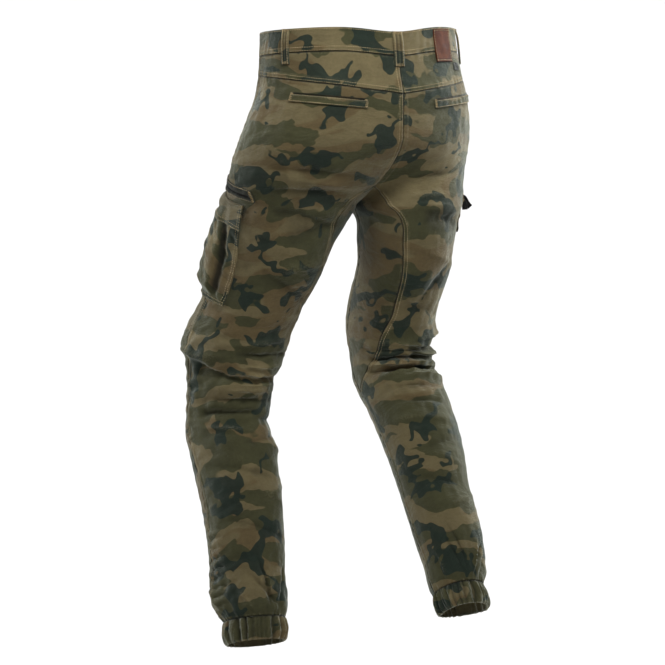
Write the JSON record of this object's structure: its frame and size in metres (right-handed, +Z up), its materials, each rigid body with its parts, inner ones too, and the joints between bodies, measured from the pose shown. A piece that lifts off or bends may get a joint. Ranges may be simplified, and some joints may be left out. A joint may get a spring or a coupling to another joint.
{
  "type": "motorcycle jeans",
  "caption": "Worn-shape camouflage motorcycle cargo trousers with bellows thigh pockets, inner-leg gussets and gathered elastic cuffs, hollow and striding.",
  "frame": {"origin": "centre of the waist opening, in the waistband, where the wearer holds the trousers up", "axes": "+Z up, the wearer faces -Y, the wearer's left is +X"},
  "size_m": [0.4053, 0.371, 0.9765],
  "materials": {
    "camouflage_cotton": "woven cotton twill in a four-tone woodland camouflage, matt",
    "zip_tape": "dark woven zip tape and welt",
    "patch_leather": "smooth brown leather, bare",
    "woven_tab": "plain dark woven tab",
    "antique_brass": "dull antique brass",
    "black_ribbon": "black grosgrain ribbon"
  },
  "bodies": {
    "root": {"front_left": "camouflage_cotton", "back_yoke_left": "camouflage_cotton", "back_left": "camouflage_cotton", "gusset_left": "camouflage_cotton", "front_right": "camouflage_cotton", "back_yoke_right": "camouflage_cotton", "back_right": "camouflage_cotton", "gusset_right": "camouflage_cotton", "waistband": "camouflage_cotton", "cuff_left": "camouflage_cotton", "cuff_right": "camouflage_cotton", "belt_loop_back_left": "camouflage_cotton", "belt_loop_front_left": "camouflage_cotton", "belt_loop_back_right": "camouflage_cotton", "belt_loop_front_right": "camouflage_cotton", "belt_loop_centre_back": "camouflage_cotton", "back_pocket_welt_left": "camouflage_cotton", "cargo_pocket_left": "camouflage_cotton", "cargo_flap_left": "camouflage_cotton", "cargo_zip_left": "zip_tape", "back_pocket_welt_right": "camouflage_cotton", "cargo_pocket_right": "camouflage_cotton", "cargo_flap_right": "camouflage_cotton", "cargo_zip_right": "zip_tape", "leather_patch": "patch_leather", "loop_tab": "woven_tab", "fly_flap": "camouflage_cotton", "waist_button": "antique_brass", "zip_pull_right": "black_ribbon"}
  },
  "joints": []
}
